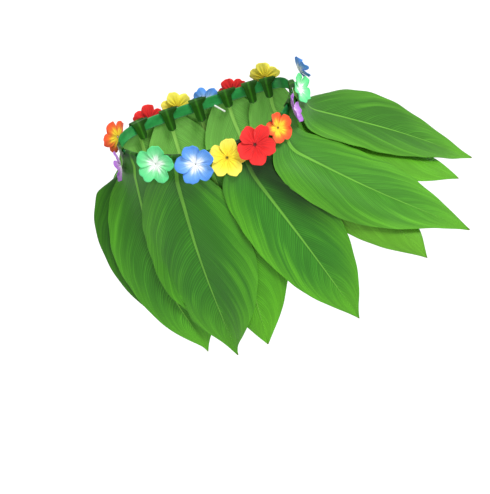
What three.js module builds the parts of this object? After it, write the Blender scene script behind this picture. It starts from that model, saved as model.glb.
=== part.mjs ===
// Ti leaf skirt: a ribbon waistband ring, fifteen long cloth leaves whose stalk
// ends are folded over it, and fifteen five-petal cloth flowers on the outside.
// Millimetres, +Z up. The origin is the middle of the waist opening, half way up
// the waistband. -Y is the front, +X the side whose leaves spread out.
import * as THREE from "three";

// ---------------------------------------------------------------- main sizes
const WAIST_A = 112;        // waist outline, half width (X)
const WAIST_BACK = { depth: 60, square: 3.4 };   // behind the middle: 2 is an ellipse,
const WAIST_FRONT = { depth: 86, square: 1.75 }; // more is squarer, less is more pointed
const BAND_H = 15;          // ribbon width, upright
const BAND_T = 1.0;         // ribbon thickness
const BAND_STEPS = 84;      // facets round the ribbon
const LEAF_T = 1.2;         // leaf cloth thickness
const STALK_OUT = 1.8;      // stalk's middle, out from the ribbon's middle
const STALK_W = 17;         // stalk width where it passes over the ribbon
const TAB_TIP_W = 9;        // width of a folded-in stalk's end
const FOLD_TOP = 9.5;       // height of the fold over the ribbon's top edge
const LEAF_START = -8;      // height where a leaf leaves the ribbon
const BEND_LENGTH = 50;     // length in which a leaf turns to its own direction
const LAYER_LENGTH = 16;    // length in which a leaf reaches its own layer
const LAYER_FIRST = 0.45;   // part of its layer a leaf has already at the ribbon
const SHINGLE = 0.045;      // rise of each leaf's near edge per mm round the waist
const COLS = 5;             // facets across a leaf
const WALK = 1.5;           // step used to measure widths on the skirt surface
const FLOWER_R = 23;        // usual flower radius at a petal's tip
const FLOWER_NOTCH = 0.76;  // radius between petals, as a part of FLOWER_R
const FLOWER_T = 1.2;       // petal thickness
const FLOWER_CUP = 5.0;     // how far the petal tips stand forward of the middle
const PIN_R = 1.3;          // fixing pin radius
const PIN_LENGTH = 17;      // fixing pin length

// Height of each cloth layer above the innermost skirt surface.
const LAYER = { inner: 0.5, low: 3.4, high: 9.2 };

// Height of the ribbon's middle round the waist: the soft ring dips at the front.
const DIP = [
  [280, 0], [320, -1], [350, -3], [385, -5], [427, -9.5], [465, -11], [505, -11.5], [535, -10],
  [562, -5], [590, 1], [603.5, 5], [628.5, 5], [663.5, 1.5], [703.5, 0], [883.5, 0],
];
const DIP_SOFT = 10;        // how far each bend of the ribbon is rounded off

// One row per direction in which the skirt hangs, in order round the waist.
// at: mm round the waist from its right-hand end, towards the back first.
// out_x, out_y: sideways parts of the unit vector along which the cloth hangs.
// length, width: the leaf; a row with no layer only guides the surface.
const HANGS = [
  { name: "leaf_back_1", at: 60, out_x: 0.43, out_y: 0.24, length: 248, width: 95, sway: 15, layer: "low", tab: 26, base: 1.15 },
  { name: "leaf_back_2", at: 84, out_x: 0.25, out_y: 0.23, length: 258, width: 113, sway: 2, layer: "high", tab: 27, base: 1 },
  { name: "leaf_back_3", at: 116, out_x: 0.09, out_y: 0.18, length: 256, width: 112, sway: 0, layer: "low", tab: 23, base: 1 },
  { name: "leaf_back_4", at: 155, out_x: 0, out_y: 0.16, length: 262, width: 114, sway: 0, layer: "high", tab: 30, base: 1 },
  { name: "leaf_back_5", at: 195, out_x: -0.06, out_y: 0.16, length: 255, width: 112, sway: 0, layer: "low", tab: 29, base: 1 },
  { name: "leaf_back_6", at: 235, out_x: -0.16, out_y: 0.15, length: 250, width: 112, sway: 0, layer: "high", tab: 25, base: 1.4 },
  { name: null, at: 282, out_x: -0.92, out_y: 0.08 },
  { name: "leaf_front_1", at: 309.5, out_x: -0.13, out_y: -0.229, length: 217.6, width: 117.4, sway: -12.7, layer: "inner", tab: 26, base: 1.1 },
  { name: "leaf_front_2", at: 338.5, out_x: 0.033, out_y: -0.152, length: 266.1, width: 126.7, sway: -19.4, layer: "low", tab: 28, base: 1 },
  { name: "leaf_front_3", at: 399.7, out_x: -0.006, out_y: -0.03, length: 269.1, width: 135, sway: -6, layer: "high", tab: 30, base: 1 },
  { name: "leaf_front_4", at: 438.5, out_x: -0.002, out_y: -0.127, length: 247.2, width: 112.9, sway: 3.6, layer: "low", tab: 26, base: 1 },
  { name: "leaf_front_5", at: 478.3, out_x: 0.324, out_y: -0.085, length: 267.3, width: 107, sway: 3.4, layer: "high", tab: 28, base: 1 },
  { name: "leaf_front_6", at: 507.1, out_x: 0.655, out_y: -0.185, length: 255.3, width: 97.3, sway: 20, layer: "low", tab: 25, base: 1 },
  { name: "leaf_front_7", at: 536, out_x: 0.728, out_y: -0.085, length: 284.2, width: 97, sway: -7.2, layer: "high", tab: 29, base: 1 },
  { name: "leaf_front_8", at: 573.6, out_x: 0.794, out_y: 0.017, length: 250.6, width: 105.3, sway: 14.5, layer: "low", tab: 26, base: 1 },
  { name: "leaf_front_9", at: 602.5, out_x: 0.793, out_y: 0.11, length: 279.3, width: 113, sway: 12, layer: "high", tab: 27, base: 1.2 },
  { name: null, at: 635, out_x: 0.85, out_y: 0.46 },
];

// A leaf's outline: part of its length, part of its full width.
const OUTLINE = [
  { along: 0.00, wide: 0.38 }, { along: 0.04, wide: 0.50 }, { along: 0.09, wide: 0.64 },
  { along: 0.16, wide: 0.79 }, { along: 0.25, wide: 0.915 }, { along: 0.36, wide: 0.985 },
  { along: 0.48, wide: 1.00 }, { along: 0.60, wide: 0.93 }, { along: 0.73, wide: 0.74 },
  { along: 0.86, wide: 0.43 }, { along: 0.95, wide: 0.155 }, { along: 1.00, wide: 0.03 },
];

// One row per flower, in order round the waist. up: height of its middle,
// out: how far its middle stands off the ribbon, lean: how far it faces up,
// turn: how far it faces round the waist, spin: turn of its petals (degrees),
// radius: to a petal's tip.
const FLOWERS = [
  { name: "flower_01_blue", at: 12, up: 18, out: 16.5, lean: 6, turn: 16, spin: 10, radius: 15, color: 0x9cc6f0 },
  { name: "flower_02_yellow", at: 64, up: 7, out: 8.5, lean: 5, turn: 0, spin: 20, radius: 20, color: 0xf5dc34 },
  { name: "flower_03_red", at: 106, up: -2, out: 11.5, lean: 5, turn: 0, spin: 0, radius: 20, color: 0xe03a34 },
  { name: "flower_04_blue", at: 143, up: -2, out: 8, lean: 5, turn: 0, spin: 0, radius: 20, color: 0x9cc6f0 },
  { name: "flower_05_yellow", at: 180, up: 3, out: 11, lean: 5, turn: 0, spin: 12, radius: 20, color: 0xf5dc34 },
  { name: "flower_06_red", at: 218, up: 1, out: 7.9, lean: 5, turn: 0, spin: 30, radius: 20, color: 0xe03a34 },
  { name: "flower_07_orange", at: 261, up: 1, out: 10, lean: 6, turn: -12, spin: 5, radius: 21, color: 0xf0803c },
  { name: "flower_08_purple", at: 318, up: -10, out: 9.5, lean: 8, turn: -25, spin: 18, radius: 19, color: 0xc9a0d8 },
  { name: "flower_09_green", at: 381, up: 3.5, out: 12, lean: 12, turn: 14, spin: 70, radius: 23, color: 0x7fe08c },
  { name: "flower_10_blue", at: 426, up: 0.5, out: 12.5, lean: 12, turn: 3, spin: 21, radius: 23, color: 0x6fa4ea },
  { name: "flower_11_yellow", at: 459.5, up: -3, out: 8, lean: 14, turn: 0, spin: 67, radius: 22.5, color: 0xf5dc34 },
  { name: "flower_12_red", at: 492, up: 1, out: 13.6, lean: 14, turn: -2, spin: 38, radius: 24, color: 0xe03a34 },
  { name: "flower_13_orange", at: 529, up: 1, out: 8.6, lean: 12, turn: -6, spin: 16, radius: 18.5, color: 0xf0803c },
  { name: "flower_14_purple", at: 560, up: 4, out: 9.8, lean: 8, turn: 28, spin: 40, radius: 18, color: 0xc9a0d8 },
  { name: "flower_15_green", at: 595, up: 4.5, out: 9.4, lean: 8, turn: -20, spin: 10, radius: 18.5, color: 0x7fe08c },
];
const PIN = { at: 134, depth: 2.6, top: -5, slope: 49 };

const COLOR = { leaf: 0x3f7d2c, leafBack: 0x6c9b50, band: 0x1e8c46, pin: 0xf4f4f0 };

// ------------------------------------------------------------- waist outline
const ARC = (() => {
  const rows = [];
  const steps = 2880;
  let length = 0, last = null;
  for (let k = 0; k <= steps; k++) {
    const t = (2 * Math.PI * k) / steps, c = Math.cos(t), s = Math.sin(t);
    const half = s >= 0 ? WAIST_BACK : WAIST_FRONT, e = 2 / half.square;
    const p = [WAIST_A * Math.sign(c) * Math.abs(c) ** e, half.depth * Math.sign(s) * Math.abs(s) ** e];
    if (last) length += Math.hypot(p[0] - last[0], p[1] - last[1]);
    rows.push({ at: length, x: p[0], y: p[1] });
    last = p;
  }
  return rows;
})();
const ROUND = ARC[ARC.length - 1].at;

function waistPoint(at) {
  const a = ((at % ROUND) + ROUND) % ROUND;
  let lo = 0, hi = ARC.length - 1;
  while (hi - lo > 1) {
    const mid = (lo + hi) >> 1;
    if (ARC[mid].at <= a) lo = mid; else hi = mid;
  }
  const u = (a - ARC[lo].at) / (ARC[hi].at - ARC[lo].at);
  return [ARC[lo].x + u * (ARC[hi].x - ARC[lo].x), ARC[lo].y + u * (ARC[hi].y - ARC[lo].y)];
}

// Point on the waist line with its outward direction.
function waist(at) {
  const p = waistPoint(at), a = waistPoint(at - 2), b = waistPoint(at + 2);
  const l = Math.hypot(b[0] - a[0], b[1] - a[1]);
  return { x: p[0], y: p[1], nx: (b[1] - a[1]) / l, ny: -(b[0] - a[0]) / l };
}

// Height of the ribbon's middle.
function waistUp(at) {
  let sum = 0, weight = 0;
  for (let k = -5; k <= 5; k++) {
    const a = 280 + ((((at + (k * DIP_SOFT) / 2 - 280) % ROUND) + ROUND) % ROUND);
    let i = 0;
    while (i < DIP.length - 2 && DIP[i + 1][0] <= a) i++;
    const u = Math.min((a - DIP[i][0]) / (DIP[i + 1][0] - DIP[i][0]), 1);
    const w = Math.exp(-0.125 * k * k);
    sum += w * (DIP[i][1] + u * (DIP[i + 1][1] - DIP[i][1]));
    weight += w;
  }
  return sum / weight;
}

// ------------------------------------------------------------- skirt surface
function hangDirection(at) {
  const n = HANGS.length, first = HANGS[0].at;
  const s = ((((at - first) % ROUND) + ROUND) % ROUND) + first;
  const row = (k) => {
    const turns = Math.floor(k / n), h = HANGS[k - turns * n];
    return { at: h.at + turns * ROUND, v: [h.out_x, h.out_y] };
  };
  let i = 0;
  while (i < n - 1 && HANGS[i + 1].at <= s) i++;
  const p = [row(i - 1), row(i), row(i + 1), row(i + 2)];
  const h = p[2].at - p[1].at, u = (s - p[1].at) / h;
  return [0, 1].map((k) => {
    const m0 = (p[2].v[k] - p[0].v[k]) / (p[2].at - p[0].at);
    const m1 = (p[3].v[k] - p[1].v[k]) / (p[3].at - p[1].at);
    return (2 * u ** 3 - 3 * u ** 2 + 1) * p[1].v[k] + (u ** 3 - 2 * u ** 2 + u) * h * m0
      + (-2 * u ** 3 + 3 * u ** 2) * p[2].v[k] + (u ** 3 - u ** 2) * h * m1;
  });
}

const smooth = (u) => { const c = Math.min(Math.max(u, 0), 1); return c * c * (3 - 2 * c); };

// The cloth starts straight down and turns to its own direction within
// BEND_LENGTH: sums of the sideways and downward parts along the cloth.
function hangCurve(angle, down) {
  const steps = 24;
  let side = 0, drop = 0;
  for (let k = 0; k <= steps; k++) {
    const w = (k === 0 || k === steps ? 0.5 : 1) / steps * down;
    const a = angle * smooth((down * k) / steps / BEND_LENGTH);
    side += w * Math.sin(a);
    drop += w * Math.cos(a);
  }
  return { side, drop };
}

function skirtPoint(at, down) {
  const w = waist(at), d = hangDirection(at);
  const m = Math.max(Math.hypot(d[0], d[1]), 1e-6);
  const c = hangCurve(Math.asin(Math.min(m, 0.98)), down);
  return new THREE.Vector3(
    w.x + w.nx * STALK_OUT + (d[0] / m) * c.side,
    w.y + w.ny * STALK_OUT + (d[1] / m) * c.side,
    waistUp(at) + LEAF_START - c.drop);
}

// Distance round the waist whose point lies `sideways` mm along the surface.
function walkSideways(at, down, sideways) {
  if (sideways === 0) return at;
  const dir = Math.sign(sideways);
  let left = Math.abs(sideways), a = at, p = skirtPoint(a, down);
  for (let k = 0; k < 200; k++) {
    const q = skirtPoint(a + dir * WALK, down), l = p.distanceTo(q);
    if (l >= left) return a + dir * WALK * (left / l);
    left -= l;
    a += dir * WALK;
    p = q;
  }
  return a;
}

function skirtNormal(at, down) {
  const d0 = Math.max(down - 1, 0);
  const along = skirtPoint(at, d0 + 2).sub(skirtPoint(at, d0));
  const round = skirtPoint(at + 1, down).sub(skirtPoint(at - 1, down));
  return along.cross(round).normalize();
}

// ---------------------------------------------------------------- solid maker
// A closed wall of even thickness about a grid of middle points.
function wallFromGrid(rows, normals, thickness) {
  const nr = rows.length, nc = rows[0].length, pos = [], tri = [];
  for (const side of [1, -1])
    for (let r = 0; r < nr; r++)
      for (let c = 0; c < nc; c++) {
        const p = rows[r][c].clone().addScaledVector(normals[r][c], (side * thickness) / 2);
        pos.push(p.x, p.y, p.z);
      }
  const id = (side, r, c) => side * nr * nc + r * nc + c;
  const quad = (a, b, c, d) => tri.push(a, b, c, a, c, d);
  for (let r = 0; r < nr - 1; r++)
    for (let c = 0; c < nc - 1; c++) {
      quad(id(0, r, c), id(0, r + 1, c), id(0, r + 1, c + 1), id(0, r, c + 1));
      quad(id(1, r, c), id(1, r, c + 1), id(1, r + 1, c + 1), id(1, r + 1, c));
    }
  for (let r = 0; r < nr - 1; r++) {
    quad(id(0, r, 0), id(1, r, 0), id(1, r + 1, 0), id(0, r + 1, 0));
    quad(id(0, r, nc - 1), id(0, r + 1, nc - 1), id(1, r + 1, nc - 1), id(1, r, nc - 1));
  }
  for (let c = 0; c < nc - 1; c++) {
    quad(id(0, 0, c), id(0, 0, c + 1), id(1, 0, c + 1), id(1, 0, c));
    quad(id(0, nr - 1, c), id(1, nr - 1, c), id(1, nr - 1, c + 1), id(0, nr - 1, c + 1));
  }
  return indexed(pos, tri);
}

function indexed(pos, tri) {
  const g = new THREE.BufferGeometry();
  g.setAttribute("position", new THREE.Float32BufferAttribute(pos, 3));
  g.setIndex(tri);
  g.computeVertexNormals();
  return g;
}

function gridNormals(rows) {
  const nr = rows.length, nc = rows[0].length;
  return rows.map((row, r) => row.map((_, c) => {
    const along = rows[Math.min(r + 1, nr - 1)][c].clone().sub(rows[Math.max(r - 1, 0)][c]);
    const across = rows[r][Math.min(c + 1, nc - 1)].clone().sub(rows[r][Math.max(c - 1, 0)]);
    return along.cross(across).normalize();
  }));
}

// ---------------------------------------------------------------------- leaf
function leafGeometry(leaf) {
  const rows = [];
  const acrossParts = Array.from({ length: COLS + 1 }, (_, c) => (2 * c) / COLS - 1);
  const first = OUTLINE[0].wide * leaf.width * leaf.base;
  const far = LAYER_FIRST * LAYER[leaf.layer];
  // The stalk's path over the ribbon: out from the ribbon's middle, height, width.
  const hang = leaf.tab;
  const path = [
    { out: -STALK_OUT - 0.10 * hang, up: FOLD_TOP - hang,       wide: TAB_TIP_W },
    { out: -STALK_OUT - 0.05 * hang, up: FOLD_TOP - 0.6 * hang, wide: 0.5 * (TAB_TIP_W + STALK_W) + 1 },
    { out: -STALK_OUT - 0.1,         up: 6.0,                   wide: STALK_W },
    { out: -1.3, up: 8.7,                   wide: STALK_W },
    { out: 0.5 * far, up: FOLD_TOP,         wide: STALK_W },
    { out: 1.35 + far, up: 8.7,             wide: STALK_W },
    { out: STALK_OUT + far,          up: 6.5,                   wide: STALK_W },
    { out: STALK_OUT + far,          up: 0,                     wide: 0.5 * (STALK_W + first), lean: 0.5 },
  ];
  for (const p of path)
    rows.push(acrossParts.map((a) => {
      const at = leaf.at + (a * p.wide) / 2, w = waist(at);
      const out = p.out + (p.lean ?? 0) * LAYER_FIRST * SHINGLE * (leaf.at - at);
      return new THREE.Vector3(w.x + w.nx * out, w.y + w.ny * out, waistUp(at) + p.up);
    }));
  for (const o of OUTLINE) {
    const down = o.along * leaf.length;
    const mid = leaf.sway * Math.sin(Math.PI * o.along);
    const reach = LAYER_FIRST + (1 - LAYER_FIRST) * smooth(down / LAYER_LENGTH);
    const broad = 1 + (leaf.base - 1) * (1 - smooth(o.along / 0.16));
    rows.push(acrossParts.map((a) => {
      const at = walkSideways(leaf.at, down, mid + (a * o.wide * broad * leaf.width) / 2);
      const lift = reach * (LAYER[leaf.layer] + SHINGLE * (leaf.at - at));
      return skirtPoint(at, down).addScaledVector(skirtNormal(at, down), lift);
    }));
  }
  return wallFromGrid(rows, gridNormals(rows), LEAF_T);
}

// ---------------------------------------------------------------- waistband
function bandGeometry() {
  const pos = [], tri = [];
  const ring = [
    { out: BAND_T / 2, up: -BAND_H / 2 }, { out: BAND_T / 2, up: BAND_H / 2 },
    { out: -BAND_T / 2, up: BAND_H / 2 }, { out: -BAND_T / 2, up: -BAND_H / 2 },
  ];
  for (let k = 0; k < BAND_STEPS; k++) {
    const w = waist((ROUND * k) / BAND_STEPS);
    const mid = waistUp((ROUND * k) / BAND_STEPS);
    for (const r of ring) pos.push(w.x + w.nx * r.out, w.y + w.ny * r.out, mid + r.up);
  }
  for (let k = 0; k < BAND_STEPS; k++)
    for (let j = 0; j < 4; j++) {
      const a = k * 4 + j, b = ((k + 1) % BAND_STEPS) * 4 + j;
      const a2 = k * 4 + ((j + 1) % 4), b2 = ((k + 1) % BAND_STEPS) * 4 + ((j + 1) % 4);
      tri.push(a, b, b2, a, b2, a2);
    }
  return indexed(pos, tri);
}

// -------------------------------------------------------------------- flower
// Five round petals in one cupped piece, facing +Z in its own frame.
function flowerGeometry(radius) {
  const steps = 20, rings = [0.5, 1], pos = [], tri = [];
  const edge = (k) => {
    const part = (k % 4) / 4;
    const lobe = part === 0 ? 1 : part === 0.5 ? FLOWER_NOTCH : 0.97;
    return radius * lobe;
  };
  for (const side of [1, -1]) {
    pos.push(0, 0, (side * FLOWER_T) / 2);
    for (const f of rings)
      for (let k = 0; k < steps; k++) {
        const a = (2 * Math.PI * k) / steps, r = f * edge(k);
        const up = FLOWER_CUP * (r / FLOWER_R) ** 2 + (side * FLOWER_T) / 2;
        pos.push(r * Math.cos(a), r * Math.sin(a), up);
      }
  }
  const per = 1 + rings.length * steps;
  const id = (side, ring, k) => side * per + 1 + ring * steps + (k % steps);
  for (let k = 0; k < steps; k++) {
    tri.push(0, id(0, 0, k), id(0, 0, k + 1));
    tri.push(per, id(1, 0, k + 1), id(1, 0, k));
    tri.push(id(0, 0, k), id(0, 1, k), id(0, 1, k + 1), id(0, 0, k), id(0, 1, k + 1), id(0, 0, k + 1));
    tri.push(id(1, 0, k), id(1, 1, k + 1), id(1, 1, k), id(1, 0, k), id(1, 0, k + 1), id(1, 1, k + 1));
    tri.push(id(0, 1, k), id(1, 1, k), id(1, 1, k + 1), id(0, 1, k), id(1, 1, k + 1), id(0, 1, k + 1));
  }
  return indexed(pos, tri);
}

// ------------------------------------------------------------------ assembly
const skirt = new THREE.Group();
const cloth = (color, roughness = 0.7) => new THREE.MeshStandardMaterial({ color, roughness, metalness: 0 });

function add(name, geometry, material) {
  const m = new THREE.Mesh(geometry, material);
  m.name = name;
  skirt.add(m);
  return m;
}

add("waistband", bandGeometry(), cloth(COLOR.band, 0.45));

for (const h of HANGS)
  if (h.name) add(h.name, leafGeometry(h), cloth(h.name.includes("back") ? COLOR.leafBack : COLOR.leaf));

for (const f of FLOWERS) {
  const m = add(f.name, flowerGeometry(f.radius), cloth(f.color, 0.8));
  const w = waist(f.at);
  m.position.set(w.x + w.nx * f.out, w.y + w.ny * f.out, waistUp(f.at) + f.up);
  const facing = Math.atan2(w.ny, w.nx) + THREE.MathUtils.degToRad(f.turn);
  const lean = THREE.MathUtils.degToRad(f.lean);
  const z = new THREE.Vector3(Math.cos(facing) * Math.cos(lean), Math.sin(facing) * Math.cos(lean), Math.sin(lean));
  const x = new THREE.Vector3(-Math.sin(facing), Math.cos(facing), 0);
  const y = z.clone().cross(x);
  const frame = new THREE.Matrix4().makeBasis(x, y, z);
  frame.multiply(new THREE.Matrix4().makeRotationZ(THREE.MathUtils.degToRad(f.spin)));
  m.quaternion.setFromRotationMatrix(frame);
}

{
  const w = waist(PIN.at), s = THREE.MathUtils.degToRad(PIN.slope);
  const g = new THREE.CylinderGeometry(PIN_R, PIN_R, PIN_LENGTH, 8);
  const m = add("fixing_pin", g, cloth(COLOR.pin, 0.4));
  const side = new THREE.Vector3(w.ny, -w.nx, 0);
  const dir = side.multiplyScalar(Math.cos(s)).add(new THREE.Vector3(0, 0, -Math.sin(s)));
  m.position.set(w.x - w.nx * PIN.depth, w.y - w.ny * PIN.depth, waistUp(PIN.at) + PIN.top).addScaledVector(dir, PIN_LENGTH / 2);
  m.quaternion.setFromUnitVectors(new THREE.Vector3(0, 1, 0), dir.clone().normalize());
}

export default skirt;
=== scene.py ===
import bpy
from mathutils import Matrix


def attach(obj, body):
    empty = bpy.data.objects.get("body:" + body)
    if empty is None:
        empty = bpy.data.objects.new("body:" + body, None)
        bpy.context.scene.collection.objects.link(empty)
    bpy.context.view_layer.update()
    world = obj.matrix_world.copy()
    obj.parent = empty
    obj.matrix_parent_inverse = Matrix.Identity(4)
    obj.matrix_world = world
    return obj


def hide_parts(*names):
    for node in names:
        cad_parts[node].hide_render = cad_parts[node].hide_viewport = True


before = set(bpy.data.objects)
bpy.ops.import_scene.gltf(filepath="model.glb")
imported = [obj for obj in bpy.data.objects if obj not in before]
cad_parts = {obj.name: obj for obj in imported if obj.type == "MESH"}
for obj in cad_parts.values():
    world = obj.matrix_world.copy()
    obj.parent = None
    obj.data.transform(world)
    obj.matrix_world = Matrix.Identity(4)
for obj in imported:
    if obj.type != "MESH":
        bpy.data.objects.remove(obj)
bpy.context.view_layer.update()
# Ti leaf skirt: ribbon waistband, fifteen cloth leaves hung from folded-over
# stalks and fifteen five-petal cloth flowers. Lengths below are millimetres
# until a mesh is made; the row frame is metres.
import math

import bpy
import numpy as np

# ------------------------------------------------------------------ the shape
WAIST_A, BACK, FRONT = 112.0, (60.0, 3.4), (86.0, 1.75)
STALK_OUT, LEAF_START, BEND, LAYER_LENGTH, SHINGLE = 1.8, -8.0, 50.0, 16.0, 0.045
FOLD_TOP, FLOWER_R = 9.5, 23.0
LAYER = {"inner": 0.5, "low": 3.4, "high": 9.2}
LAYER_FIRST = 0.45

# name, round the waist, out x, out y, length, width, sway, layer, tab, base
HANGS = [
    ("leaf_back_1", 60, 0.43, 0.24, 248, 95, 15, "low", 26, 1.15),
    ("leaf_back_2", 84, 0.25, 0.23, 258, 113, 2, "high", 27, 1),
    ("leaf_back_3", 116, 0.09, 0.18, 256, 112, 0, "low", 23, 1),
    ("leaf_back_4", 155, 0, 0.16, 262, 114, 0, "high", 30, 1),
    ("leaf_back_5", 195, -0.06, 0.16, 255, 112, 0, "low", 29, 1),
    ("leaf_back_6", 235, -0.16, 0.15, 250, 112, 0, "high", 25, 1.4),
    (None, 282, -0.92, 0.08, 0, 0, 0, None, 0, 1),
    ("leaf_front_1", 309.5, -0.13, -0.229, 217.6, 117.4, -12.7, "inner", 26, 1.1),
    ("leaf_front_2", 338.5, 0.033, -0.152, 266.1, 126.7, -19.4, "low", 28, 1),
    ("leaf_front_3", 399.7, -0.006, -0.03, 269.1, 135, -6, "high", 30, 1),
    ("leaf_front_4", 438.5, -0.002, -0.127, 247.2, 112.9, 3.6, "low", 26, 1),
    ("leaf_front_5", 478.3, 0.324, -0.085, 267.3, 107, 3.4, "high", 28, 1),
    ("leaf_front_6", 507.1, 0.655, -0.185, 255.3, 97.3, 20, "low", 25, 1),
    ("leaf_front_7", 536, 0.728, -0.085, 284.2, 97, -7.2, "high", 29, 1),
    ("leaf_front_8", 573.6, 0.794, 0.017, 250.6, 105.3, 14.5, "low", 26, 1),
    ("leaf_front_9", 602.5, 0.793, 0.11, 279.3, 113, 12, "high", 27, 1.2),
    (None, 635, 0.85, 0.46, 0, 0, 0, None, 0, 1),
]
OUTLINE = np.array([
    (0.00, 0.38), (0.04, 0.50), (0.09, 0.64), (0.16, 0.79), (0.25, 0.915), (0.36, 0.985),
    (0.48, 1.00), (0.60, 0.93), (0.73, 0.74), (0.86, 0.43), (0.95, 0.145), (1.00, 0.004),
])
# name, round the waist, up, out, lean, turn, spin, radius
FLOWERS = [
    ("flower_01_blue", 12, 18, 16.5, 6, 16, 10, 15),
    ("flower_02_yellow", 64, 7, 8.5, 5, 0, 20, 20),
    ("flower_03_red", 106, -2, 11.5, 5, 0, 0, 20),
    ("flower_04_blue", 143, -2, 8, 5, 0, 0, 20),
    ("flower_05_yellow", 180, 3, 11, 5, 0, 12, 20),
    ("flower_06_red", 218, 1, 7.9, 5, 0, 30, 20),
    ("flower_07_orange", 261, 1, 10, 6, -12, 5, 21),
    ("flower_08_purple", 318, -10, 9.5, 8, -25, 18, 19),
    ("flower_09_green", 381, 3.5, 12, 12, 14, 70, 23),
    ("flower_10_blue", 426, 0.5, 12.5, 12, 3, 21, 23),
    ("flower_11_yellow", 459.5, -3, 8, 14, 0, 67, 22.5),
    ("flower_12_red", 492, 1, 13.6, 14, -2, 38, 24),
    ("flower_13_orange", 529, 1, 8.6, 12, -6, 16, 18.5),
    ("flower_14_purple", 560, 4, 9.8, 8, 28, 40, 18),
    ("flower_15_green", 595, 4.5, 9.4, 8, -20, 10, 18.5),
]
PIN = dict(at=134, depth=2.6, top=-5.0, slope=49.0, length=17.0)

_t = np.linspace(0, 2 * np.pi, 2881)
_c, _s = np.cos(_t), np.sin(_t)
_s[np.abs(_s) < 1e-12] = 0
_e = np.where(_s >= 0, 2 / BACK[1], 2 / FRONT[1])
_b = np.where(_s >= 0, BACK[0], FRONT[0])
_ring = np.stack([WAIST_A * np.sign(_c) * np.abs(_c) ** _e, _b * np.sign(_s) * np.abs(_s) ** _e], -1)
_at = np.r_[0, np.cumsum(np.linalg.norm(np.diff(_ring, axis=0), axis=1))]
ROUND = _at[-1]


def waist(at):
    """x, y and the outward direction at a distance round the waist."""
    def p(a):
        a = np.mod(a, ROUND)
        return np.interp(a, _at, _ring[:, 0]), np.interp(a, _at, _ring[:, 1])
    at = np.asarray(at, float)
    x, y = p(at)
    (x0, y0), (x1, y1) = p(at - 2), p(at + 2)
    l = np.hypot(x1 - x0, y1 - y0)
    return x, y, (y1 - y0) / l, -(x1 - x0) / l


DIP = np.array([
    (280, 0), (320, -1), (350, -3), (385, -5), (427, -9.5), (465, -11), (505, -11.5), (535, -10),
    (562, -5), (590, 1), (603.5, 5), (628.5, 5), (663.5, 1.5), (703.5, 0), (883.5, 0)])
_k5 = np.arange(-5, 6)
_w5 = np.exp(-0.125 * _k5**2)
_w5 /= _w5.sum()


def waist_up(at):
    """Height of the ribbon's middle: the soft ring dips at the front."""
    a = 280 + np.mod(np.asarray(at, float)[..., None] + _k5 * 5.0 - 280, ROUND)
    return (np.interp(a, DIP[:, 0], DIP[:, 1]) * _w5).sum(-1)


_hs = np.array([h[1] for h in HANGS], float)
_hv = np.array([(h[2], h[3]) for h in HANGS], float)
_hs_all = np.r_[_hs[-1] - ROUND, _hs, _hs[0] + ROUND, _hs[1] + ROUND]
_hv_all = np.vstack([_hv[-1], _hv, _hv[0], _hv[1]])


def hang(at):
    n = len(_hs)
    s = np.mod(np.asarray(at, float) - _hs[0], ROUND) + _hs[0]
    i = np.clip(np.searchsorted(_hs_all, s, side="right") - 1, 1, n)

    def slope(j):
        return (_hv_all[j + 1] - _hv_all[j - 1]) / (_hs_all[j + 1] - _hs_all[j - 1])[..., None]
    h = (_hs_all[i + 1] - _hs_all[i])
    u = ((s - _hs_all[i]) / h)[..., None]
    h = h[..., None]
    return ((2 * u**3 - 3 * u**2 + 1) * _hv_all[i] + (u**3 - 2 * u**2 + u) * h * slope(i)
            + (-2 * u**3 + 3 * u**2) * _hv_all[i + 1] + (u**3 - u**2) * h * slope(i + 1))


def smooth(u):
    c = np.clip(u, 0, 1)
    return c * c * (3 - 2 * c)


_g = np.linspace(0, 1, 25)
_w = np.full(25, 1 / 24.0)
_w[[0, -1]] *= 0.5


def skirt(at, down):
    at, down = np.broadcast_arrays(np.asarray(at, float), np.asarray(down, float))
    x, y, nx, ny = waist(at)
    d = hang(at)
    m = np.maximum(np.hypot(d[..., 0], d[..., 1]), 1e-6)
    angle = np.arcsin(np.minimum(m, 0.98))[..., None] * smooth(down[..., None] * _g / BEND)
    side = (np.sin(angle) * _w).sum(-1) * down
    drop = (np.cos(angle) * _w).sum(-1) * down
    return np.stack([x + nx * STALK_OUT + d[..., 0] / m * side,
                     y + ny * STALK_OUT + d[..., 1] / m * side, waist_up(at) + LEAF_START - drop], -1)


def unit(v):
    return v / np.maximum(np.linalg.norm(v, axis=-1, keepdims=True), 1e-12)


def skirt_normal(at, down):
    d0 = np.maximum(down - 1, 0)
    along = skirt(at, d0 + 2) - skirt(at, d0)
    round_ = skirt(at + 1, down) - skirt(at - 1, down)
    return unit(np.cross(along, round_))


_off = np.linspace(-105, 105, 141)


def walk(at, down, sideways):
    """Distances round the waist that lie `sideways` mm along the skirt at one depth."""
    p = skirt(at + _off, down)
    c = np.r_[0, np.cumsum(np.linalg.norm(np.diff(p, axis=0), axis=1))]
    c -= c[len(_off) // 2]
    return at + np.interp(sideways, c, _off)


def curve_table(xy, x):
    """Monotone cubic through a table."""
    X, Y = xy[:, 0], xy[:, 1]
    h, dy = np.diff(X), np.diff(Y)
    m = dy / h
    t = np.zeros(len(X))
    for k in range(1, len(X) - 1):
        if m[k - 1] * m[k] > 0:
            a, b = 2 * h[k] + h[k - 1], h[k] + 2 * h[k - 1]
            t[k] = (a + b) / (a / m[k - 1] + b / m[k])
    t[0], t[-1] = m[0], m[-1]
    i = np.clip(np.searchsorted(X, x, side="right") - 1, 0, len(X) - 2)
    u = (x - X[i]) / h[i]
    return ((2 * u**3 - 3 * u**2 + 1) * Y[i] + (u**3 - 2 * u**2 + u) * h[i] * t[i]
            + (-2 * u**3 + 3 * u**2) * Y[i + 1] + (u**3 - u**2) * h[i] * t[i + 1])


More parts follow.
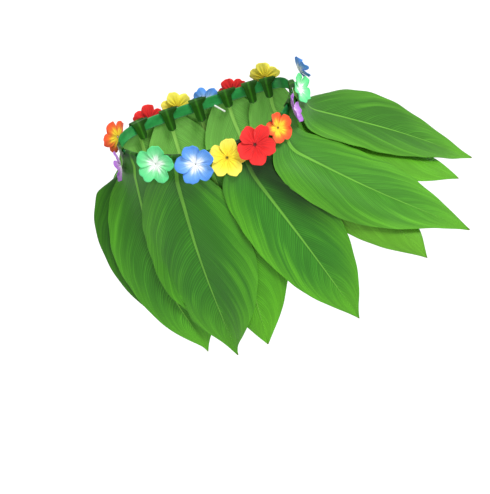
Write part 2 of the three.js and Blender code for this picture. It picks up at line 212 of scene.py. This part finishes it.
# ----------------------------------------------------------------- mesh maker
def make(name, verts, faces, mats, face_mat=None, flat=None, attrs=None):
    me = bpy.data.meshes.new(name)
    me.from_pydata([tuple(v) for v in np.asarray(verts) / 1000.0], [], [tuple(int(i) for i in f) for f in faces])
    for m in mats:
        me.materials.append(m)
    n = len(me.polygons)
    if face_mat is not None:
        me.polygons.foreach_set("material_index", np.asarray(face_mat, np.int32))
    sm = np.ones(n, bool) if flat is None else ~np.asarray(flat, bool)
    me.polygons.foreach_set("use_smooth", sm)
    for key, val in (attrs or {}).items():
        val = np.asarray(val, np.float32)
        kind = "FLOAT" if val.ndim == 1 else "FLOAT_VECTOR"
        a = me.attributes.new(key, kind, "POINT")
        a.data.foreach_set("value" if val.ndim == 1 else "vector", val.ravel())
    me.validate()
    me.update()
    ob = bpy.data.objects.new(name, me)
    bpy.context.scene.collection.objects.link(ob)
    return ob


def grid_normals(P):
    a = np.empty_like(P)
    a[1:-1] = P[2:] - P[:-2]
    a[0], a[-1] = P[1] - P[0], P[-1] - P[-2]
    b = np.empty_like(P)
    b[:, 1:-1] = P[:, 2:] - P[:, :-2]
    b[:, 0], b[:, -1] = P[:, 1] - P[:, 0], P[:, -1] - P[:, -2]
    return unit(np.cross(a, b))


def shell(P, thick, N=None):
    """Closed thin shell on a grid of middle points: verts, faces, face materials, rim flags."""
    nr, nc = P.shape[:2]
    N = grid_normals(P) if N is None else N
    t = np.asarray(thick, float)
    t = t[..., None] if t.ndim else t
    V = np.concatenate([(P + N * t / 2).reshape(-1, 3), (P - N * t / 2).reshape(-1, 3)])
    r, c = np.meshgrid(np.arange(nr - 1), np.arange(nc - 1), indexing="ij")
    r, c = r.ravel(), c.ravel()
    k = nr * nc
    i = r * nc + c
    top = np.stack([i, i + nc, i + nc + 1, i + 1], -1)
    low = np.stack([i, i + 1, i + nc + 1, i + nc], -1) + k
    R = np.arange(nr - 1) * nc
    left = np.stack([R, R + k, R + nc + k, R + nc], -1)
    R2 = R + nc - 1
    right = np.stack([R2, R2 + nc, R2 + nc + k, R2 + k], -1)
    C = np.arange(nc - 1)
    first = np.stack([C, C + 1, C + 1 + k, C + k], -1)
    C2 = C + (nr - 1) * nc
    last = np.stack([C2, C2 + k, C2 + 1 + k, C2 + 1], -1)
    F = np.concatenate([top, low, left, right, first, last])
    rim = len(left) * 2 + len(first) * 2
    fm = np.r_[np.zeros(len(top)), np.ones(len(low)), np.full(rim, 2)].astype(int)
    return V, F, fm, fm == 2


# ------------------------------------------------------------------ materials
def srgb(r, g, b):
    def f(v):
        v /= 255.0
        return v / 12.92 if v <= 0.04045 else ((v + 0.055) / 1.055) ** 2.4
    return (f(r), f(g), f(b), 1.0)


class Nodes:
    """Small helper for procedural materials."""

    def __init__(self, name, roughness=0.5, specular=0.5, sheen=0.0, bump=None):
        self.mat = bpy.data.materials.new(name)
        self.mat.use_nodes = True
        self.nt = self.mat.node_tree
        self.nt.nodes.clear()
        self.out = self.nt.nodes.new("ShaderNodeOutputMaterial")
        self.bsdf = self.nt.nodes.new("ShaderNodeBsdfPrincipled")
        self.nt.links.new(self.bsdf.outputs["BSDF"], self.out.inputs["Surface"])
        self.bsdf.inputs["Roughness"].default_value = roughness
        self.bsdf.inputs["Specular IOR Level"].default_value = specular
        self.bsdf.inputs["Sheen Weight"].default_value = sheen

    def put(self, socket, v):
        if isinstance(v, (int, float)):
            socket.default_value = v
        elif isinstance(v, tuple):
            socket.default_value = v
        else:
            self.nt.links.new(v, socket)

    def attr(self, name):
        n = self.nt.nodes.new("ShaderNodeAttribute")
        n.attribute_type, n.attribute_name = "GEOMETRY", name
        return n

    def split(self, v):
        n = self.nt.nodes.new("ShaderNodeSeparateXYZ")
        self.put(n.inputs[0], v)
        return n.outputs[0], n.outputs[1], n.outputs[2]

    def join(self, x, y, z):
        n = self.nt.nodes.new("ShaderNodeCombineXYZ")
        for k, v in enumerate((x, y, z)):
            self.put(n.inputs[k], v)
        return n.outputs[0]

    def m(self, op, a, b=None, c=None, clamp=False):
        n = self.nt.nodes.new("ShaderNodeMath")
        n.operation, n.use_clamp = op, clamp
        for k, v in enumerate((a, b, c)):
            if v is not None:
                self.put(n.inputs[k], v)
        return n.outputs[0]

    def step(self, v, lo, hi, a=0.0, b=1.0):
        n = self.nt.nodes.new("ShaderNodeMapRange")
        n.interpolation_type = "SMOOTHSTEP"
        for k, x in enumerate((v, lo, hi, a, b)):
            self.put(n.inputs[k], x)
        return n.outputs[0]

    def mix(self, f, a, b, blend="MIX"):
        n = self.nt.nodes.new("ShaderNodeMix")
        n.data_type, n.blend_type, n.clamp_factor = "RGBA", blend, True
        self.put(n.inputs[0], f)
        self.put(n.inputs[6], a)
        self.put(n.inputs[7], b)
        return n.outputs[2]

    def noise(self, vec, scale=1.0, detail=2.0, rough=0.5):
        n = self.nt.nodes.new("ShaderNodeTexNoise")
        self.put(n.inputs["Vector"], vec)
        n.inputs["Scale"].default_value = scale
        n.inputs["Detail"].default_value = detail
        n.inputs["Roughness"].default_value = rough
        return n.outputs["Fac"]

    def scale(self, col, f):
        """Colour times a number."""
        n = self.nt.nodes.new("ShaderNodeVectorMath")
        n.operation = "SCALE"
        self.put(n.inputs[0], tuple(col[:3]) if isinstance(col, tuple) else col)
        self.put(n.inputs["Scale"], f)
        return n.outputs[0]

    def bump(self, height, strength=0.3, distance=0.0005):
        n = self.nt.nodes.new("ShaderNodeBump")
        n.inputs["Strength"].default_value = strength
        n.inputs["Distance"].default_value = distance
        self.put(n.inputs["Height"], height)
        self.nt.links.new(n.outputs["Normal"], self.bsdf.inputs["Normal"])

    def colour(self, c):
        self.put(self.bsdf.inputs["Base Color"], c)


def leaf_material(name, seed, mid, edge, tip, base, rib, tab, under=False, gain=1.0, shade=0.0):
    """Printed leaf cloth, with some painted shade and painted sheen mixed into its colour. `co` holds along, across and
    the vein coordinate.
    """
    g = Nodes(name, roughness=0.62 if under else 0.50, specular=0.15 if under else 0.22, sheen=0.0)
    s, u, v = g.split(g.attr("co").outputs["Vector"])
    d = g.m("ABSOLUTE", g.attr("d").outputs["Fac"])
    au = g.m("ABSOLUTE", u)
    side = g.m("MULTIPLY", g.m("SIGN", u), 3.7)
    k = 0.6 if under else 1.0
    n1 = g.noise(g.join(g.m("MULTIPLY", v, 46.0), g.m("ADD", g.m("MULTIPLY", au, 1.3), seed), side), detail=2.0)
    n2 = g.noise(g.join(g.m("MULTIPLY", v, 150.0), g.m("ADD", g.m("MULTIPLY", au, 3.0), seed + 9.0), side), detail=2.0)
    n3 = g.noise(g.join(g.m("MULTIPLY", v, 13.0), g.m("ADD", g.m("MULTIPLY", au, 1.6), seed + 4.0), side), detail=1.0)
    a1 = g.m("MULTIPLY", g.m("SUBTRACT", n1, 0.5), 2.6)
    a2 = g.m("MULTIPLY", g.m("SUBTRACT", n2, 0.5), 2.6)
    a3 = g.m("MULTIPLY", g.m("SUBTRACT", n3, 0.5), 2.6)
    wob = g.m("ADD", au, g.m("ADD", g.m("MULTIPLY", a3, 0.26), g.m("MULTIPLY", a1, 0.20)))
    e = g.step(wob, 0.42, 1.18)
    t = g.step(g.m("ADD", s, g.m("MULTIPLY", a1, 0.05)), 0.60, 1.0)
    f = g.m("SUBTRACT", 1.0, g.m("MULTIPLY", g.m("SUBTRACT", 1.0, e), g.m("SUBTRACT", 1.0, t)))
    col = g.mix(f, mid, edge)
    col = g.mix(g.m("MULTIPLY", g.step(s, 0.80, 1.0), 0.8), col, tip)
    # painted sheen: the face turns greyer towards the stalk, standing in for the soft highlight there
    col = g.mix(g.m("MULTIPLY", g.step(s, 0.0, 0.20, 1.0, 0.0), 0.65), col, base)
    # broad yellower streaks, strongest towards the edges
    streak = g.m("MULTIPLY", g.step(g.m("ADD", g.m("MULTIPLY", a3, 0.5), g.m("MULTIPLY", a1, 0.6)), 0.05, 0.75), g.m("MULTIPLY", g.step(au, 0.15, 0.8, 0.12, 0.55), k))
    col = g.mix(streak, col, g.scale(edge, 1.18))
    # fine light vein lines
    w1 = g.m("SINE", g.m("ADD", g.m("MULTIPLY", v, 6.2832 * 60.0), g.m("MULTIPLY", a1, 2.6)))
    w2 = g.m("SINE", g.m("ADD", g.m("MULTIPLY", v, 6.2832 * 104.0), g.m("MULTIPLY", a3, 7.0)))
    l1 = g.m("MULTIPLY", g.step(w1, 0.15, 1.0), g.step(n3, 0.25, 0.75, 0.35, 1.0))
    l2 = g.m("MULTIPLY", g.step(w2, 0.0, 1.0), g.step(n1, 0.3, 0.7, 0.2, 1.0))
    lum = g.m("ADD", 0.80, g.m("ADD", g.m("MULTIPLY", a2, 0.07 * k), g.m("ADD", g.m("MULTIPLY", l1, 0.52 * k), g.m("ADD", g.m("MULTIPLY", l2, 0.34 * k), g.m("MULTIPLY", a3, 0.07 * k)))))
    col = g.scale(col, lum)
    w = g.step(s, -0.02, 0.88, 2.5, 0.5)
    fade = g.step(s, 0.74, 0.93, 1.0, 0.0)
    rb = g.m("MULTIPLY", g.step(d, g.m("MULTIPLY", w, 0.70), g.m("MULTIPLY", w, 1.05), 1.0, 0.0), fade)
    # painted shade: a narrow darker band beside the pale midrib, standing in for the shade in the channel along it
    rib_channel_painted_shade = g.m("MULTIPLY", g.m("SUBTRACT", g.step(d, w, g.m("MULTIPLY", w, 3.0), 1.0, 0.0), rb), g.m("MULTIPLY", fade, 0.16))
    col = g.scale(col, g.m("SUBTRACT", 1.0, rib_channel_painted_shade))
    grain = g.noise(g.join(g.m("MULTIPLY", g.attr("d").outputs["Fac"], 1.5), g.m("MULTIPLY", s, 9.0), seed), detail=1.0)
    col = g.mix(g.m("MULTIPLY", rb, 0.88), col, g.scale(rib, g.step(grain, 0.3, 0.7, 0.84, 1.10)))
    tb = g.step(s, -0.052, -0.020, 1.0, 0.0)
    tl = g.m("MULTIPLY", g.step(d, 0.4, 1.5, 1.0, 0.0), 1.3)
    tcol = g.scale(tab, g.m("ADD", 0.8, g.m("ADD", g.m("MULTIPLY", g.step(u, -0.9, 0.9), 0.7), g.m("ADD", g.m("MULTIPLY", a3, 0.25), tl))))
    col = g.mix(g.m("MULTIPLY", tb, 0.92), col, tcol)
    col = g.mix(g.m("MULTIPLY", g.step(s, 0.985, 0.999), 0.6), col, srgb(128, 112, 52))
    if shade:
        # painted shade: the side that lies deep under the next leaf is darkened, standing in for the shadow that
        # leaf_front_7 casts on leaf_front_5
        x = g.m("SUBTRACT", u, g.m("MULTIPLY", s, 1.5))
        under_leaf_painted_shade = g.m("MULTIPLY", g.step(x, -0.60, 0.15), g.step(s, 0.30, 0.62, 1.0, 0.0))
        col = g.scale(col, g.m("SUBTRACT", 1.0, g.m("MULTIPLY", under_leaf_painted_shade, shade)))
    g.colour(g.scale(col, gain))
    g.put(g.bsdf.inputs["Roughness"], g.m("SUBTRACT", g.m("ADD", 0.62 if under else 0.50, g.m("MULTIPLY", a2, 0.03)), g.m("MULTIPLY", tb, 0.14)))
    g.bump(g.m("ADD", g.m("MULTIPLY", l1, 0.5), g.m("MULTIPLY", n2, 0.4)), strength=0.30, distance=0.0006)
    return g.mat


# colours per leaf: middle, edge, tip (sRGB as dyed)
DYE = {
    "leaf_front_1": ((40, 98, 20), (62, 122, 24), (80, 140, 30)),
    "leaf_front_2": ((58, 122, 38), (84, 152, 46), (96, 165, 45)),
    "leaf_front_3": ((60, 130, 40), (92, 165, 46), (98, 172, 40)),
    "leaf_front_4": ((84, 158, 34), (98, 172, 40), (104, 176, 46)),
    "leaf_front_5": ((58, 128, 42), (94, 166, 44), (100, 170, 50)),
    "leaf_front_6": ((112, 176, 56), (118, 184, 64), (120, 184, 64)),
    "leaf_front_7": ((74, 140, 50), (100, 168, 58), (106, 172, 58)),
    "leaf_front_8": ((96, 162, 50), (104, 172, 56), (106, 174, 56)),
    "leaf_front_9": ((64, 122, 44), (92, 154, 54), (104, 170, 56)),
}
RIB = srgb(116, 188, 62)
TAB = srgb(30, 78, 12)
GAIN = {"leaf_front_1": 1.08, "leaf_front_2": 1.16, "leaf_front_3": 0.95, "leaf_front_4": 0.96, "leaf_front_5": 1.04,
        "leaf_front_6": 0.83, "leaf_front_7": 0.99, "leaf_front_8": 1.0, "leaf_front_9": 1.05}


def rows_of(leaf):
    """Grid of middle points for one leaf with its surface coordinates."""
    name, at, _, _, length, width, sway, layer, tab, base = leaf
    half = np.array([0.0, .012, .026, .042, .062, .09, .13, .18, .24, .305, .375, .445, .515, .585,
                     .655, .725, .79, .85, .90, .94, .968, .987, 1.0])
    U = np.r_[-half[:0:-1], half]
    A = np.abs(U)
    seed = (at * 0.137) % 1.0
    far = LAYER_FIRST * LAYER[layer]
    first = OUTLINE[0, 1] * width * base
    # folded stalk: out, up, width, how far it is part of the shingled skirt
    T = np.array([
        (-STALK_OUT - 0.105 * tab, FOLD_TOP - tab, 1.5, 0), (-STALK_OUT - 0.103 * tab, FOLD_TOP - 0.985 * tab, 5.4, 0),
        (-STALK_OUT - 0.10 * tab, FOLD_TOP - 0.95 * tab, 8.6, 0), (-STALK_OUT - 0.09 * tab, FOLD_TOP - 0.88 * tab, 10.8, 0),
        (-STALK_OUT - 0.05 * tab, FOLD_TOP - 0.6 * tab, 12.6, 0),
        (-STALK_OUT - 0.45, 4.5, 14.5, 0), (-STALK_OUT - 0.05, 7.2, 17.0, 0), (-1.25, 8.9, 18.5, 0), (0.5 * far, FOLD_TOP + 0.1, 19.0, 0),
        (1.3 + far, 8.8, 18.5, 0), (STALK_OUT + far, 6.5, 18.5, 0), (STALK_OUT + far, 0.0, 0.5 * (17 + first), 0.5),
        (STALK_OUT + far, -4.0, 0.25 * 17 + 0.75 * first, 0.75),
    ])
    chord = np.r_[0, np.cumsum(np.linalg.norm(np.diff(T[:, :2], axis=0), axis=1))]
    q = np.linspace(0, chord[-1], 46)
    path = np.stack([curve_table(np.c_[chord, T[:, k]], q) for k in range(4)], -1)
    P, co, dd = [], [], []
    tab_len = chord[-1] + 4.0
    for (out, up, wide, lean), c in zip(path, q):
        x_ = U * wide / 2
        wing = 0.0
        if out < 0:
            # a loose wing of the folded stalk stands out at the top of one side
            wing = float(smooth((up - 1.0) / 5.5)) * (3.4 + 2.2 * math.sin(37 * seed))
            x_ = np.where(U < 0, x_ - wing * A**1.5, x_)
        st = at + x_
        x, y, nx, ny = waist(st)
        inward = float(smooth((FOLD_TOP - 1.2 - up) / 7.0)) if out < 0 else 0.0
        o = out - inward * (1.25 * (1 - A) ** 1.1 - 0.55 * A**2) + lean * LAYER_FIRST * SHINGLE * (at - st)
        o = o + (0.5 * inward * wing / 3.0) * np.where(U < 0, A**2, 0)
        P.append(np.stack([x + nx * o, y + ny * o, waist_up(st) + up], -1))
        s = -(tab_len - c) / length
        co.append(np.stack([np.full_like(U, s), U, np.full_like(U, s) - 0.1 * A], -1))
        dd.append(U * wide / 2)
    F = np.linspace(0, 1, 116)
    for f in F:
        down = f * length
        broad = 1 + (base - 1) * (1 - float(smooth(f / 0.16)))
        w = curve_table(OUTLINE, f) * width / 2 * broad
        # the cut edge is never a perfect line
        wl = w * (1 + 0.010 * math.sin(21 * f + 9 * seed) + 0.005 * math.sin(53 * f + 5 * seed))
        wr = w * (1 + 0.010 * math.sin(19 * f + 4 * seed + 2) + 0.005 * math.sin(47 * f + 7 * seed))
        mid = sway * math.sin(math.pi * f)
        st = walk(at, down, mid + np.where(U < 0, U * wl, U * wr))
        grow = float(smooth((down - 10) / 55))
        body = math.sin(math.pi * f ** 0.85)
        d = U * w
        lift = (LAYER_FIRST + (1 - LAYER_FIRST) * float(smooth(down / LAYER_LENGTH))) * (LAYER[layer] + SHINGLE * (at - st))
        room = 1.0 if layer == "high" else 0.55
        h = grow * body * (2.1 * room * np.sin(math.pi * A**0.72) - 0.8 * room * np.exp(-(d / 5.5) ** 2))
        h += grow * 0.9 * room * A**3 * np.sin(2 * math.pi * (2.6 * f + seed) + np.sign(U) * 1.3)
        h += grow * 0.35 * A**4 * np.sin(2 * math.pi * (7.3 * f + 3 * seed) + np.sign(U) * 0.7)
        h += grow * 0.35 * np.sin(2 * math.pi * (1.7 * f + 0.6 * U + 2 * seed))
        h += float(smooth((down + 2) / 20)) * (1 - float(smooth((f - 0.8) / 0.2))) * 0.7 * np.exp(-(d / (2.3 - 1.5 * f)) ** 2)
        dw = np.full_like(st, down)
        P.append(skirt(st, dw) + skirt_normal(st, dw) * (lift + h)[:, None])
        co.append(np.stack([np.full_like(U, f), U, vein(f, A)], -1))
        dd.append(d)
    return np.array(P), np.array(co), np.array(dd), tab_len


def vein(f, a):
    """Coordinate that stays the same along one vein."""
    return f - (0.20 * a + 0.32 * a**2.3) * (0.55 + 0.45 * math.sin(math.pi * min(f * 0.8 + 0.1, 1)))


pieces = {}


def finish_piece(ob, node):
    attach(ob, "root")
    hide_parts(node)
    pieces[node] = ob


# ------------------------------------------------------------------ waistband
def ribbon():
    n = 420
    st = np.arange(n) / n * ROUND
    x, y, nx, ny = waist(st)
    rows = np.linspace(-7.3, 7.3, 9)
    wob = 0.12 * np.sin(st * 0.21) + 0.08 * np.sin(st * 0.47 + 1.0)
    verts, co = [], []
    mid = waist_up(st)
    for side in (0.28, -0.28):
        for z in rows:
            o = side + wob * (0.4 + 0.6 * abs(z) / 7.3)
            zz = mid + z + 0.10 * np.sin(st * 0.33 + z)
            verts.append(np.stack([x + nx * o, y + ny * o, zz], -1))
            co.append(np.stack([st, np.full(n, z), np.zeros(n)], -1))
    V = np.concatenate(verts)
    nr = len(rows)
    F, fm = [], []
    k = np.arange(n)
    k2 = (k + 1) % n
    for r in range(nr - 1):
        F.append(np.stack([r * n + k, r * n + k2, (r + 1) * n + k2, (r + 1) * n + k], -1))
        b = nr * n
        F.append(np.stack([b + r * n + k, b + (r + 1) * n + k, b + (r + 1) * n + k2, b + r * n + k2], -1))
    b, t = nr * n, (nr - 1) * n
    F.append(np.stack([t + k, t + k2, b + t + k2, b + t + k], -1))
    F.append(np.stack([k, b + k, b + k2, k2], -1))
    F = np.concatenate(F)
    flat = np.zeros(len(F), bool)
    flat[-2 * n:] = True
    g = Nodes("ribbon_satin", roughness=0.38, specular=0.5)
    s, z, _ = g.split(g.attr("co").outputs["Vector"])
    weave = g.noise(g.join(g.m("MULTIPLY", s, 2.2), g.m("MULTIPLY", z, 0.5), 0.0), detail=2.0)
    long = g.noise(g.join(g.m("MULTIPLY", s, 0.045), g.m("MULTIPLY", z, 0.08), 3.0), detail=2.0)
    col = g.mix(g.step(long, 0.35, 0.65), srgb(34, 134, 64), srgb(50, 160, 84))
    edge = g.step(g.m("ABSOLUTE", z), 6.3, 7.0)
    col = g.mix(g.m("MULTIPLY", edge, 0.35), col, srgb(24, 96, 44))
    g.colour(g.scale(col, g.step(weave, 0.25, 0.75, 0.93, 1.07)))
    g.bump(weave, strength=0.25, distance=0.0003)
    ob = make("waistband_ribbon", V, F, [g.mat], flat=flat, attrs={"co": np.concatenate(co)})
    finish_piece(ob, "waistband")
    return ob


band = ribbon()

# --------------------------------------------------------------------- leaves
for leaf in HANGS:
    if not leaf[0]:
        continue
    name, at, _, _, length, width, sway, layer, tab, base = leaf
    P, co, d, tab_len = rows_of(leaf)
    thick = np.full(P.shape[:2], 0.7)
    thick[:6] = 0.6
    V, F, fm, rim = shell(P, thick)
    mid, edge, tip = DYE.get(name, ((60, 128, 42), (90, 160, 48), (98, 168, 48)))
    seed = (at * 0.37) % 10
    def dye(c):
        r, g_, b, _ = srgb(*c)
        return (r * 0.85, g_ * 1.02, b * 0.48, 1.0)
    # only leaf_front_5 gets painted shade, where leaf_front_7 lies over it
    top = leaf_material(name + "_face", seed, dye(mid), dye(edge), dye(tip), srgb(66, 126, 50), RIB, TAB,
                        gain=0.84 * GAIN.get(name, 1.0), shade=0.82 if name == "leaf_front_5" else 0.0)
    # the reverse is paler cloth, and its colours are also brightened about twofold as painted light, standing in for
    # light that reaches the inside of the skirt
    back = leaf_material(name + "_reverse", seed, srgb(134, 200, 92), srgb(142, 210, 96), srgb(146, 210, 98),
                         srgb(136, 202, 98), srgb(172, 226, 112), srgb(60, 104, 44), under=True)
    ob = make(name + "_cloth", V, F, [top, back], np.where(fm == 1, 1, 0), rim,
              {"co": np.concatenate([co.reshape(-1, 3)] * 2), "d": np.concatenate([d.ravel()] * 2)})
    finish_piece(ob, name)
    f = np.linspace(0, 1, 400)
    blade = np.mean(curve_table(OUTLINE, f)) * width * length


# -------------------------------------------------------------------- flowers
def flower_frame(f):
    name, at, up, out, lean, turn, spin, radius = f
    x, y, nx, ny = [float(v) for v in waist(at)]
    up += float(waist_up(at))
    face, ln, sp = math.atan2(ny, nx) + math.radians(turn), math.radians(lean), math.radians(spin)
    z = np.array([math.cos(face) * math.cos(ln), math.sin(face) * math.cos(ln), math.sin(ln)])
    ax = np.array([-math.sin(face), math.cos(face), 0.0])
    ay = np.cross(z, ax)
    c, s = math.cos(sp), math.sin(sp)
    return np.array([x + nx * out, y + ny * out, up]), ax * c + ay * s, ay * c - ax * s, z


KIND = {
    # centre, middle, edge, pleat line, star reach, star sharpness
    "green": ((244, 252, 244), (150, 236, 172), (96, 220, 138), (64, 192, 110), 0.46, 0.30),
    "blue": ((246, 250, 254), (140, 190, 244), (84, 148, 230), (64, 116, 206), 0.46, 0.36),
    "yellow": ((240, 206, 40), (246, 226, 52), (248, 234, 92), (206, 160, 16), 0.26, 0.24),
    "red": ((130, 8, 16), (222, 28, 30), (236, 44, 42), (140, 8, 18), 0.16, 0.14),
    "orange": ((252, 218, 50), (250, 140, 44), (240, 84, 44), (222, 76, 36), 0.56, 0.34),
    "purple": ((248, 244, 250), (214, 170, 228), (172, 108, 204), (150, 90, 190), 0.38, 0.35),
}


def petal_material(name, kind, seed):
    centre, middle, edge, line, reach, soft = KIND[kind]
    g = Nodes(name, roughness=0.78, specular=0.3, sheen=0.15)
    r, p, k = g.split(g.attr("petal").outputs["Vector"])
    ap = g.m("ABSOLUTE", p)
    ang = g.m("ADD", g.m("MULTIPLY", p, 7.0), g.m("MULTIPLY", k, 5.3))
    n1 = g.noise(g.join(g.m("ADD", g.m("MULTIPLY", ang, 1.5), seed), g.m("MULTIPLY", r, 0.9), 0.0), detail=3.0)
    n2 = g.noise(g.join(g.m("ADD", g.m("MULTIPLY", ang, 3.0), seed), g.m("MULTIPLY", r, 2.5), 5.0), detail=2.0)
    rr = g.m("ADD", g.m("ADD", r, g.m("MULTIPLY", g.m("SUBTRACT", n1, 0.5), 0.35)), g.m("MULTIPLY", ap, 0.18))
    body = g.mix(g.step(r, 0.35, 0.95), srgb(*middle), srgb(*edge))
    col = g.mix(g.step(rr, reach - soft / 2, reach + soft / 2), srgb(*centre), body)
    lines = g.m("MULTIPLY", g.step(n1, 0.52, 0.66), g.step(r, 0.98, 0.25, 0.0, 1.0))
    col = g.mix(g.m("MULTIPLY", lines, 0.75 if kind in ("red", "yellow") else 0.45), col, srgb(*line))
    col = g.scale(col, g.step(n2, 0.2, 0.8, 0.90, 1.08))
    if kind in ("red", "yellow", "orange"):
        col = g.mix(g.step(r, 0.05, 0.13, 0.8, 0.0), col, srgb(*[int(c * 0.55) for c in line]))
    g.colour(col)
    g.bump(g.m("ADD", g.m("MULTIPLY", n1, 0.7), g.m("MULTIPLY", n2, 0.3)), strength=0.5, distance=0.001)
    return g.mat


def flower(f):
    name, at = f[0], f[1]
    kind = name.split("_")[2]
    O, X, Y, Z = flower_frame(f)
    seed = at * 0.731
    nr, nc = 16, 23
    R0 = np.linspace(0.03, 1.0, nr)
    S = np.linspace(-1, 1, nc)
    verts, faces, flats, petal, N = [], [], [], [], 0
    for k in range(5):
        a0 = 2 * math.pi * k / 5
        ph = seed + k * 1.7
        r, p = np.meshgrid(R0, S, indexing="ij")
        span = math.radians(36) * (0.98 + 0.20 * np.sin(math.pi * r**1.3))
        lobe = 1.0 - 0.27 * np.abs(p) ** 2.6 - 0.03 * np.exp(-((p - 0.1 * math.sin(ph)) / 0.16) ** 2)
        lobe *= 1 + 0.02 * np.sin(5 * p + ph) + 0.012 * np.sin(11 * p + 2 * ph)
        rad = f[7] * 1.02 * r * (1 + (lobe - 1) * r**1.2)
        ang = a0 + p * span
        z = 4.6 * r**1.7 + 0.2
        z += 0.75 * p * smooth(r / 0.35) * (0.5 + 0.5 * r)
        z += 0.9 * (np.abs(p) ** 2) * r**2 * np.sign(p)
        z += 0.42 * np.cos(p * 11 + ph) * np.sin(math.pi * r**0.8) * smooth(r / 0.2)
        z += (1.1 * np.sin(2.2 * p + ph) + 0.8 * np.sin(5.1 * p + 2 * ph)) * r**3
        z += 0.55 * math.sin(ph * 2.3) * r
        P = O + (rad * np.cos(ang))[..., None] * X + (rad * np.sin(ang))[..., None] * Y + z[..., None] * Z
        # rows run outward, columns the other way round so that the face looks along Z
        V, F, fm, rim = shell(P, 0.4)
        verts.append(V)
        faces.append(F + N)
        flats.append(rim)
        c = np.stack([r, p, np.full_like(r, float(k))], -1).reshape(-1, 3)
        petal.append(np.concatenate([c, c]))
        N += len(V)
    ob = make(name + "_cloth", np.concatenate(verts), np.concatenate(faces), [petal_material(name + "_petal", kind, seed)],
              flat=np.concatenate(flats), attrs={"petal": np.concatenate(petal)})
    finish_piece(ob, name)
    return ob


for f in FLOWERS:
    flower(f)

# ----------------------------------------------------------------- fixing pin
def pin():
    x, y, nx, ny = [float(v) for v in waist(PIN["at"])]
    s = math.radians(PIN["slope"])
    start = np.array([x - nx * PIN["depth"], y - ny * PIN["depth"], PIN["top"] + float(waist_up(PIN["at"]))])
    ax = np.array([ny * math.cos(s), -nx * math.cos(s), -math.sin(s)])
    a = unit(np.cross(ax, [0, 0, 1.0]))
    b = np.cross(ax, a)
    prof = [(0.0, 0.05), (0.15, 0.8), (0.6, 1.2), (2.2, 1.3), (3.2, 1.15), (14.0, 1.15), (14.8, 1.3), (16.3, 1.25), (16.85, 0.8), (17.0, 0.05)]
    n = 20
    V, F = [], []
    for t, r in prof:
        for k in range(n):
            w = 2 * math.pi * k / n
            V.append(start + ax * t + (a * math.cos(w) + b * math.sin(w)) * r)
    for i in range(len(prof) - 1):
        for k in range(n):
            k2 = (k + 1) % n
            F.append((i * n + k, i * n + k2, (i + 1) * n + k2, (i + 1) * n + k))
    g = Nodes("pin_plastic", roughness=0.35)
    g.colour(srgb(244, 244, 240))
    me_faces = F + [tuple(range(n - 1, -1, -1)), tuple(range((len(prof) - 1) * n, len(prof) * n))]
    ob = make("fixing_pin_body", V, me_faces, [g.mat])
    finish_piece(ob, "fixing_pin")


pin()

# ---------------------------------------------------------------------- stage
floor_me = bpy.data.meshes.new("floor")
floor_me.from_pydata([(-90, -90, -2.4), (90, -90, -2.4), (90, 90, -2.4), (-90, 90, -2.4)], [], [(0, 1, 2, 3)])
floor = bpy.data.objects.new("floor", floor_me)
g = Nodes("floor_white", roughness=0.9, specular=0.1)
g.colour((0.93, 0.93, 0.93, 1))
floor_me.materials.append(g.mat)
bpy.context.scene.collection.objects.link(floor)

world = bpy.data.worlds.new("studio")
world.use_nodes = True
bg = world.node_tree.nodes["Background"]
bg.inputs[0].default_value = (1, 1, 1, 1)
bg.inputs[1].default_value = 0.58
bpy.context.scene.world = world


def sun(name, direction, strength, angle):
    l = bpy.data.lights.new(name, "SUN")
    l.energy, l.angle = strength, math.radians(angle)
    o = bpy.data.objects.new(name, l)
    v = unit(np.array(direction, float))
    from mathutils import Vector
    o.rotation_mode = "QUATERNION"
    o.rotation_quaternion = Vector(tuple(v)).to_track_quat("Z", "Y")
    bpy.context.scene.collection.objects.link(o)
    return o


sun("key", (0.55, -0.50, 1.0), 2.75, 22)

# --------------------------------------------------------------------- camera
def camera():
    eps, rho, dist, scale = math.radians(21.5), math.radians(-18.3), 1.25, 0.803
    f = scale * 1250.0
    fwd = np.array([0, math.cos(eps), -math.sin(eps)])
    right = np.array([1.0, 0, 0])
    up = np.cross(right, fwd)
    r = math.cos(rho) * right + math.sin(rho) * up
    u = -math.sin(rho) * right + math.cos(rho) * up
    v = fwd + r * (245 - 206.5) / f - u * (247 - 121.4) / f
    fw = unit(v)
    r2 = unit(r - r.dot(fw) * fw)
    u2 = np.cross(r2, fw)
    from mathutils import Matrix
    m = Matrix(((r2[0], u2[0], -fw[0], 0), (r2[1], u2[1], -fw[1], 0), (r2[2], u2[2], -fw[2], 0), (0, 0, 0, 1)))
    cam = bpy.data.cameras.new("camera")
    cam.sensor_fit, cam.sensor_width, cam.lens = "AUTO", 36.0, f * 36.0 / 494.0
    cam.clip_start, cam.clip_end = 0.05, 400.0
    o = bpy.data.objects.new("camera", cam)
    o.matrix_world = m
    o.location = tuple(-fwd * dist)
    bpy.context.scene.collection.objects.link(o)
    bpy.context.scene.camera = o


camera()
bpy.context.scene.view_settings.view_transform = "Standard"

bpy.context.view_layer.update()
